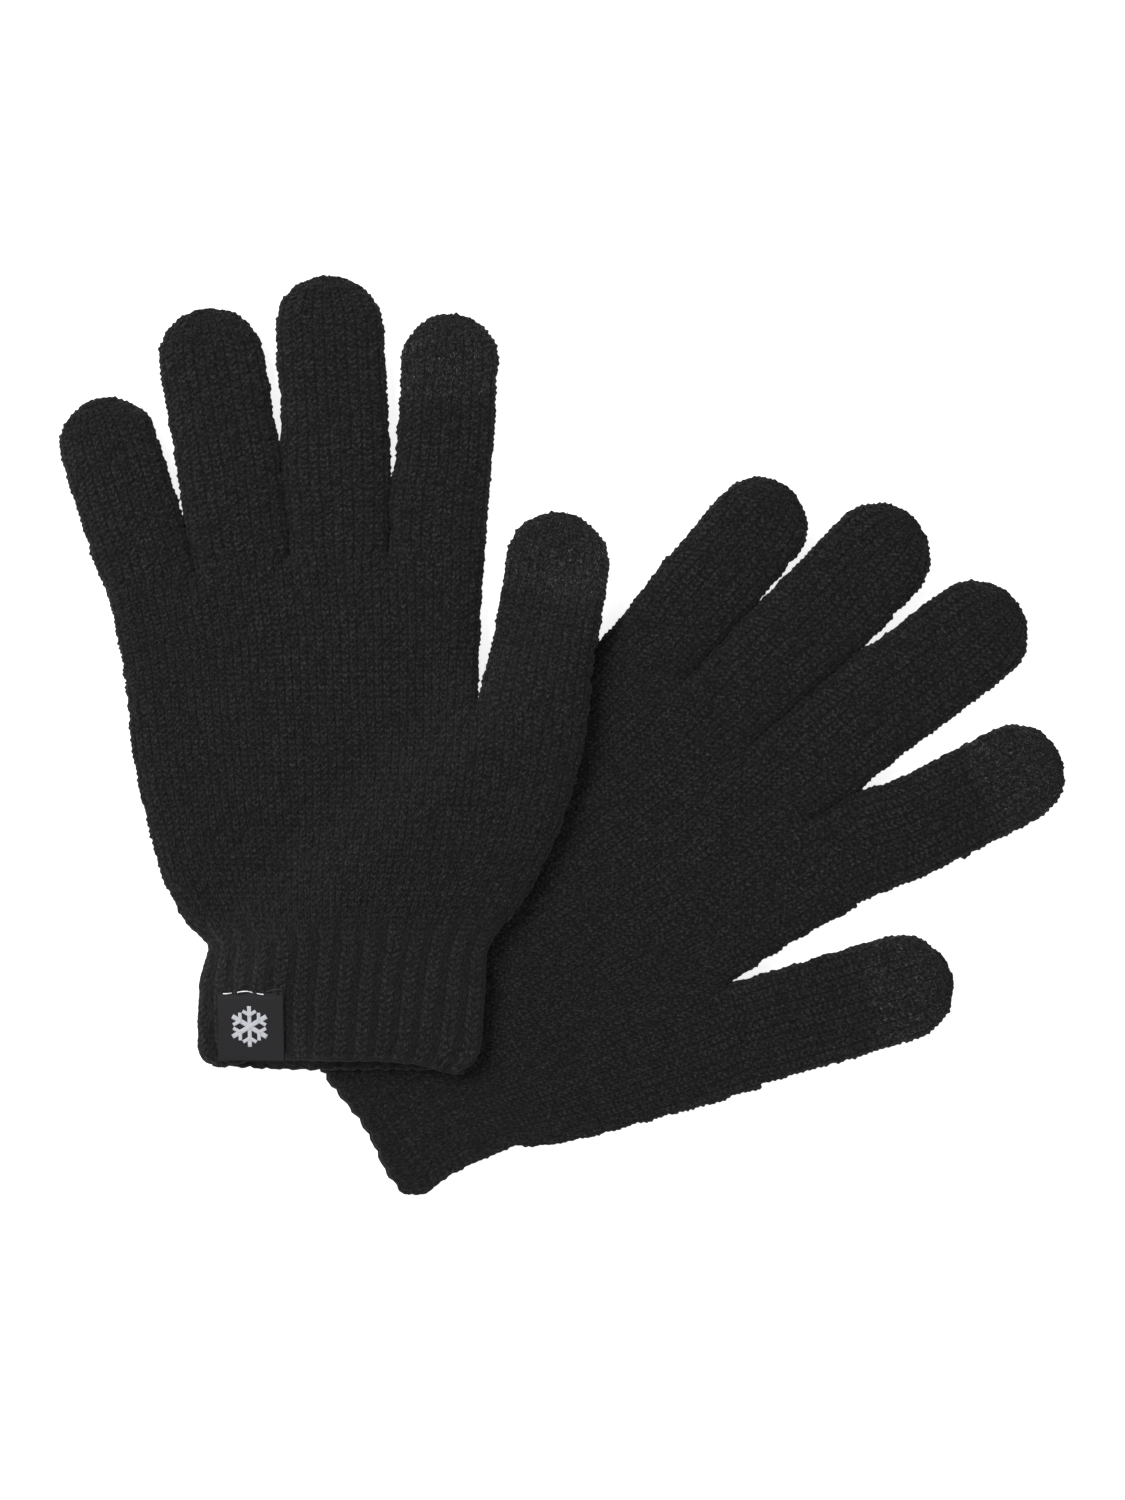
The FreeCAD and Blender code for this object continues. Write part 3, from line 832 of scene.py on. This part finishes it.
TUBE_WIDTH = {
    "left": {"index": 28.4, "middle": 31.8, "ring": 30.9, "little": 29.0, "thumb": 30.2},
    "right": {"index": 29.2, "middle": 31.4, "ring": 31.0, "little": 28.6, "thumb": 31.4},
}
LENGTH = {
    "left": {"index": 70.7, "middle": 81.5, "ring": 75.4, "little": 56.8, "thumb": 59.4},
    "right": {"index": 73.2, "middle": 86.2, "ring": 79.8, "little": 60.9, "thumb": 63.1},
}
# how far up from the roots neighbouring fingers touch: index and middle, and so on; how far they
# then take to come apart, and a digit to take on its own width
PARTING = {"left": (14.0, 26.0, 9.0), "right": (12.0, 34.0, 19.0)}
SETTLE = 14.0
WIDENED_BY = 1.6 * SETTLE
# how far neighbours press into each other, how wide the crease between them is, and how dark
PRESS = 0.35
CREASE = 1.2
CREASE_SHADE = 0.8
# how much plumper a digit's middle is than the hand, and where along it that sets in
PLUMP = 0.35
PLUMP_OVER = (6, 20)
# how far a digit's middle drifts to the thumb's side, partway and at its tip
DRIFT_PARTWAY = 25
DRIFT = {
    "left": {"index": (0.1, 0.0), "middle": (0.2, -1.1), "ring": (0.6, 0.6),
             "little": (0.4, 0.7), "thumb": (-0.3, -1.2)},
    "right": {"index": (0.6, 0.3), "middle": (0.5, 0.5), "ring": (1.1, 1.1),
              "little": (0.1, -0.3), "thumb": (0.7, 1.0)},
}
TIP_POWER = 2.08
TOUCH_LENGTH = 25.0
TOUCH_FADE = 2.5


def digit_sides(side, digit, along, drift):
    """How far a digit reaches to its left and right of its middle, at a distance along it, and
    how firmly its neighbour presses on each side there."""
    root, across, forward = digit_frame(side, digit)
    own = SPREAD[side] * ROOT_WIDTH[digit] / 2
    tube = TUBE_WIDTH[side][digit] / 2
    plain = own + (tube - own) * smooth(along, 0, WIDENED_BY)
    reach = [plain, plain]
    pressed = [0.0, 0.0]
    if digit == "thumb":
        return reach, pressed
    place = FINGERS.index(digit)
    corners = knuckles(side)[::-1]
    for which, other in ((0, place + 1), (1, place - 1)):
        if not 0 <= other < len(FINGERS):
            continue
        shared = forward + digit_frame(side, FINGERS[other])[2]
        corner = corners[place + 1 - which] - root
        step = (along - corner @ forward) / (shared @ forward)
        line = corner @ across + step * (shared @ across)
        touching = (drift - line if which == 0 else line - drift) + PRESS * smooth(along, 0, 2)
        parted = PARTING[side][min(place, other)]
        loose = smooth(along, parted - 2, parted + SETTLE)
        reach[which] = min(touching, touching * (1 - loose) + plain * loose)
        pressed[which] = 1 - loose
    return reach, pressed


def digit_points(side, digit, columns):
    """A digit's rows of points, how far along it each is, and the creases beside neighbours."""
    root, across, forward = digit_frame(side, digit)
    length = LENGTH[side][digit]
    radius = TUBE_WIDTH[side][digit] / 2
    centre = length - radius
    step = COURSE * STRETCH[side] / ROWS
    body = np.linspace(0, centre, round(centre / (step * ROWS)) * ROWS + 1)
    cap = np.linspace(0, math.pi / 2, round(radius * math.pi / 2 / (step * ROWS)) * ROWS + 1)[1:]
    upper, lower, creases = [], [], []
    partway, at_tip = DRIFT[side][digit]
    middle_line = [(-1, 0), (0, 0), (DRIFT_PARTWAY, partway), (length, at_tip)]
    for number, value in enumerate(np.concatenate([body, cap])):
        along = value
        if number >= len(body):
            along = centre + radius * math.sin(value) ** (2 / TIP_POWER)
        drift = float(line_through(middle_line, along)[0])
        if number < len(body):
            (left, right), pressed = digit_sides(side, digit, along, drift)
        else:
            left = right = radius * max(math.cos(value), 1e-6) ** (2 / TIP_POWER)
            pressed = (0.0, 0.0)

        def inward(x):
            if number < len(body):
                return np.maximum(np.minimum(x + left, right - x), 0)
            reach = np.abs(x) ** TIP_POWER + (along - centre) ** TIP_POWER
            return np.maximum(radius - reach ** (1 / TIP_POWER), 0)

        def build(x, up):
            spots = root + across * (x[:, None] + drift) + forward * along
            edge = inward(x)
            plump = PLUMP * smooth(along, *PLUMP_OVER) * np.clip(edge / radius, 0, 1)
            return layer(side, spots[:, 0], spots[:, 1], edge, up, plump)

        dense_x = np.linspace(-left, right, 3 * DENSE)
        marks = even_steps(build(dense_x, True), columns)
        x = -left + (left + right) * marks
        upper.append(build(x, True))
        lower.append(build(x, False))
        creases.append(pressed[0] * np.exp(-(((x + left) / CREASE) ** 2))
                       + pressed[1] * np.exp(-(((right - x) / CREASE) ** 2)))
    points = around(np.array(upper), np.array(lower))
    distances = np.concatenate([body, centre + radius * np.sin(cap) ** (2 / TIP_POWER)])
    return points, distances, np.array(creases)


def digit_seam(side, digit):
    """The hand's shaped points round a digit's root, in the digit's own order."""
    if digit == "thumb":
        row = seams[side]["low"]
        upper = row[PALM_COLUMNS:HAND_COLUMNS + 1]
        lower = row[HAND_COLUMNS + 1:HAND_COLUMNS + WALES["thumb"]]
        return np.concatenate([upper, lower])
    row = seams[side]["top"]
    place = len(FINGERS) - 1 - FINGERS.index(digit)
    upper = row[place * FINGER_COLUMNS:(place + 1) * FINGER_COLUMNS + 1]
    back = row[PALM_COLUMNS + 1:][::-1]
    lower = back[place * WALES["finger"]:(place + 1) * WALES["finger"] - 1][::-1]
    return np.concatenate([upper, lower])


TOUCH = yarn_material("conductive_knit", CHARCOAL, fleck=(0.115, 0.12, 0.135, 1),
                      share_attribute="touch")


def add_touch(mesh, along, columns, seam):
    """Share of conductive fibres at each point, rising across the seam."""
    share = smooth(along, seam - TOUCH_FADE, seam + TOUCH_FADE)
    values = np.repeat(share, columns)[:len(mesh.vertices)]
    touch = mesh.attributes.new("touch", "FLOAT", "POINT")
    touch.data.foreach_set("value", values.astype(np.float32))


for side in SIDES:
    for digit in DIGITS:
        thumb = digit == "thumb"
        columns = THUMB_COLUMNS if thumb else FINGER_COLUMNS
        points, along, creases = digit_points(side, digit, columns)
        rows, points_around = points.shape[:2]
        first = seams[side]["crotch_course" if thumb else "course"]
        heights = wale_stitches(columns, rows, first)
        outward = normals(points)
        end = outward[-2].mean(axis=0)
        outward[-1] = end / np.linalg.norm(end)
        depth = heights * KNIT_DEPTH + grain(*heights.shape)
        # the knit is darker in the creases, where a neighbour keeps the light out
        heights[:, :columns + 1] *= 1 - CREASE_SHADE * creases
        shaped = points + outward * depth[..., None]
        shaped[-1] = shaped[-2].mean(axis=0)
        shaped = start_on(digit_seam(side, digit), shaped)
        marks = wale_marks(columns) * WALE_WIDTH
        courses = (first + np.arange(rows) / ROWS) * COURSE
        body = f"{side}_{digit}_body"
        node = f"{side}_thumb" if thumb else f"{side}_{digit}_finger"
        root, across, forward = digit_frame(side, digit)
        if digit in ("index", "thumb"):
            seam = LENGTH[side][digit] - TOUCH_LENGTH
            cut = int(np.searchsorted(along, seam))
            mesh = knit_mesh(f"{node}_knit", shaped[:cut + 1], heights[:cut + 1], marks,
                             courses[:cut + 1])
            add_touch(mesh, along[:cut + 1], points_around, seam)
            tip = knit_mesh(f"{side}_{digit}_conductive_tip", shaped[cut:], heights[cut:], marks,
                            courses[cut:], pole=True)
            add_touch(tip, along[cut:], points_around, seam)
            cap = place_piece(tip, TOUCH)
            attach(cap, body)
            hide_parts(f"{side}_{digit}_touch_tip")
            tube = place_piece(mesh, TOUCH)
        else:
            mesh = knit_mesh(f"{node}_knit", shaped, heights, marks, courses, pole=True)
            tube = place_piece(mesh, KNIT)
        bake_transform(tube)
        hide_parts(node)

# ------------------------------------------------------------------ overlocked cuff edge
# The cuff's mouth is finished with yarn wrapped over the edge, so it reads as a soft rim with
# a turn of yarn every stitch or so.

EDGE_RADIUS = 1.05
EDGE_SEGMENTS = 12
WRAPS = 150
WRAP_DEPTH = 0.12
EDGE_YARN = yarn_material("overlock_yarn", (0.0122, 0.0117, 0.0118, 1))
for side in SIDES:
    outer, inner = seams[side]["mouth"]
    centre = (outer + inner) / 2
    forward = np.array([-math.sin(TURN[side]), math.cos(TURN[side]), 0.0])
    thick = outer - inner
    thick = thick / np.linalg.norm(thick, axis=1, keepdims=True)
    angles = np.linspace(0, 2 * math.pi, EDGE_SEGMENTS, endpoint=False)
    turns = np.linspace(0, 2 * math.pi * WRAPS, len(centre), endpoint=False)
    wrapped = np.cos(turns[None, :] + angles[:, None])
    radius = EDGE_RADIUS * (1 + WRAP_DEPTH * wrapped)
    rim = (centre[None] + radius[..., None] * (np.cos(angles)[:, None, None] * thick[None]
                                              - np.sin(angles)[:, None, None] * forward))
    # painted shade: the loft follows the wraps, so the yarn is drawn darker between turns
    mesh = knit_mesh(f"{side}_overlocked_edge", rim, 0.5 + 0.5 * wrapped,
                     wale_marks(HAND_COLUMNS) * WALE_WIDTH, np.linspace(0, 6, EDGE_SEGMENTS + 1),
                     closed_along=True)
    edge = place_piece(mesh, EDGE_YARN)
    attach(edge, f"{side}_glove")
    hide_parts(f"{side}_cuff_edge")

# ------------------------------------------------------------------ woven label
# A small square of black twill tape, sewn on near the cuff's mouth with white thread along its
# upper edge, which sinks into the knit. A light snowflake is woven into it.

LABEL_MIDDLE = (-26.1, 11.6)
LABEL_HALF = (10.0, 10.2)
LABEL_THICKNESS = 0.35
# how far the tape stands over the knit, how deep its sewn edge is drawn in, and its wrinkles
LABEL_OVER = 1.12
LABEL_TUCK = 1.1
LABEL_WRINKLE = 0.1
# the snowflake: three bars across, and two twigs near the end of each of its six arms
FLAKE_MIDDLE = (-0.4, 0.1)
BAR_HALF = (6.1, 0.7)
TWIG_HALF = (1.3, 0.52)
TWIG_FROM = 3.4
TWIG_OUT = 1.15
TWIG_LEAN = 60
BAR_LIFT = 0.06
TWIG_LIFT = 0.09
NEXT_LIFT = 0.01
BAR_THICKNESS = 0.12
STITCH_RADIUS = 0.15
TAIL_RADIUS = 0.12
TWILL_SCALE = 314


def cuff_top(x, y):
    """Points on the left cuff's upper side, in the glove's own millimetres, and their height."""
    spots = np.stack([x, y], axis=-1)
    inward = hand_inward("left", spots, root_ends("left", "thumb")[0])
    return layer("left", x, y, inward, True)


def label_top(u, v, lift):
    """Points on the label's face: u across and v up from its middle, in millimetres."""
    x = LABEL_MIDDLE[0] + u + 0.25 * np.cos(v * 0.14) * (u < 0) - 0.12
    y = LABEL_MIDDLE[1] + v + 0.02 * u
    points = cuff_top(x, y)
    tucked = smooth(v, 8.4, LABEL_HALF[1])
    wrinkled = LABEL_WRINKLE * np.sin(u * 0.45 + 1) * np.sin(v * 0.3)
    points[..., 2] += LABEL_OVER + lift - LABEL_TUCK * tucked + wrinkled
    return points


def flat_sheet(name, columns, rows, place, thickness):
    """A sheet from a grid put in place by a formula of -1 to 1 across and along."""
    bm = bmesh.new()
    bm.loops.layers.uv.new("weave")
    bmesh.ops.create_grid(bm, x_segments=columns, y_segments=rows, size=1, calc_uvs=True)
    mesh = bpy.data.meshes.new(name)
    bm.to_mesh(mesh)
    bm.free()
    flat = np.zeros(len(mesh.vertices) * 3, np.float32)
    mesh.vertices.foreach_get("co", flat)
    flat = flat.reshape(-1, 3).astype(float)
    placed = place(flat[:, 0], flat[:, 1]) * MM
    mesh.vertices.foreach_set("co", placed.astype(np.float32).ravel())
    mesh.shade_smooth()
    mesh.update()
    item = bpy.data.objects.new(name, mesh)
    bpy.context.scene.collection.objects.link(item)
    solid = item.modifiers.new("thickness", "SOLIDIFY")
    solid.thickness = thickness * MM
    solid.offset = -1
    return item


def twill_material(name, color, line, pitch, turn, contrast):
    """Woven tape: fine diagonal twill lines, pitch millimetres apart, over a plain colour."""
    material = plain_material(name, color, 0.72)
    nodes, links = material.node_tree.nodes, material.node_tree.links
    shader = nodes["Principled BSDF"]
    place = nodes.new("ShaderNodeTexCoord")
    mapping = nodes.new("ShaderNodeMapping")
    mapping.inputs["Rotation"].default_value = (0, 0, turn)
    links.new(place.outputs["Object"], mapping.inputs["Vector"])
    wave = nodes.new("ShaderNodeTexWave")
    wave.inputs["Scale"].default_value = TWILL_SCALE / pitch
    wave.inputs["Distortion"].default_value = 0.6
    wave.inputs["Detail"].default_value = 2.0
    wave.inputs["Detail Scale"].default_value = 3.0
    links.new(mapping.outputs["Vector"], wave.inputs["Vector"])
    mix = nodes.new("ShaderNodeMix")
    mix.data_type = "RGBA"
    mix.inputs["A"].default_value = (*color, 1)
    mix.inputs["B"].default_value = (*line, 1)
    links.new(wave.outputs["Fac"], mix.inputs["Factor"])
    links.new(mix.outputs["Result"], shader.inputs["Base Color"])
    bump = nodes.new("ShaderNodeBump")
    bump.inputs["Strength"].default_value = contrast
    bump.inputs["Distance"].default_value = 0.0001
    links.new(wave.outputs["Fac"], bump.inputs["Height"])
    links.new(bump.outputs["Normal"], shader.inputs["Normal"])
    return material


def woven_bar(name, middle, half, turn, lift):
    """A straight woven bar on the label's face, from its middle, half sizes and turn."""
    c, s = math.cos(turn), math.sin(turn)

    def place(a, b):
        u = middle[0] + c * a * half[0] - s * b * half[1]
        v = middle[1] + s * a * half[0] + c * b * half[1]
        return label_top(u + FLAKE_MIDDLE[0], v + FLAKE_MIDDLE[1], lift)

    return flat_sheet(name, 16, 3, place, BAR_THICKNESS)


def thread(name, points, radius, material):
    """Sewing thread through points of the left glove, x, y and height over the cuff."""
    across = np.array([p[0] for p in points], float)
    steps = np.linspace(across[0], across[-1], 40)
    y = line_through([(p[0], p[1]) for p in points], steps)[0]
    over = line_through([(p[0], p[2]) for p in points], steps)[0]
    centre = cuff_top(steps, y) + np.stack([0 * steps, 0 * steps, over], axis=-1)
    angles = np.linspace(0, 2 * math.pi, 8, endpoint=False)
    rings = (centre[:, None] + radius * (1 + 0.15 * np.sin(2.2 * steps))[:, None, None]
             * np.stack([0 * angles, np.cos(angles), np.sin(angles)], axis=-1)[None])
    mesh = knit_mesh(name, rings, np.ones(rings.shape[:2]), np.arange(9), steps - steps[0])
    return place_piece(mesh, material)


TWILL = twill_material("label_twill", (0.0075, 0.007, 0.008), (0.018, 0.0168, 0.0185),
                       0.62, math.radians(-45), 0.5)
SILVER = twill_material("woven_silver", (0.34, 0.345, 0.375), (0.47, 0.48, 0.515),
                        0.5, math.radians(-30), 0.4)
WHITE_THREAD = plain_material("white_thread", (0.78, 0.78, 0.8), 0.6)
GREY_THREAD = plain_material("grey_thread", (0.035, 0.038, 0.046), 0.7)



def on_label(a, b):
    return label_top(a * LABEL_HALF[0], b * LABEL_HALF[1], 0.0)


label = flat_sheet("left_woven_label", 48, 48, on_label, LABEL_THICKNESS)
label.data.materials.append(TWILL)
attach(label, "left_glove")
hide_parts("left_label")

bars = []
for arm in range(3):
    turn = math.radians(90 + 60 * arm)
    bars.append(woven_bar(f"flake_bar_{arm}", (0, 0), BAR_HALF, turn, BAR_LIFT + NEXT_LIFT * arm))
for arm in range(6):
    turn = math.radians(30 + 60 * arm)
    for number, lean in enumerate((-TWIG_LEAN, TWIG_LEAN)):
        out = turn + math.radians(lean)
        middle = (TWIG_FROM * math.cos(turn) + TWIG_OUT * math.cos(out),
                  TWIG_FROM * math.sin(turn) + TWIG_OUT * math.sin(out))
        bars.append(woven_bar(f"flake_twig_{arm}_{number}", middle, TWIG_HALF, out,
                              TWIG_LIFT + NEXT_LIFT * number))
bpy.ops.object.select_all(action="DESELECT")
for bar in bars:
    bar.select_set(True)
bpy.context.view_layer.objects.active = bars[0]
bpy.ops.object.join()
flake = bars[0]
flake.name = "left_woven_snowflake"
flake.data.name = "left_woven_snowflake"
flake.data.materials.append(SILVER)
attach(flake, "left_glove")

stitch = thread("left_label_stitch", [(-34.4, 21.3, 1.0), (-33.2, 21.3, 0.9), (-31.8, 21.5, 0.0),
                                      (-30.4, 21.7, 0.1), (-29.1, 22.0, 1.0), (-27.1, 22.2, 0.9),
                                      (-25.7, 21.9, 0.0), (-24.4, 21.7, 0.2), (-23.3, 21.5, 0.9),
                                      (-22.1, 21.4, 1.0)], STITCH_RADIUS, WHITE_THREAD)
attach(stitch, "left_glove")
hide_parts("left_label_thread")
tail = thread("left_label_thread_tail", [(-21.4, 22.1, 0.7), (-19.2, 22.8, 0.95),
                                         (-16.5, 22.9, 0.8)], TAIL_RADIUS, GREY_THREAD)
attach(tail, "left_glove")
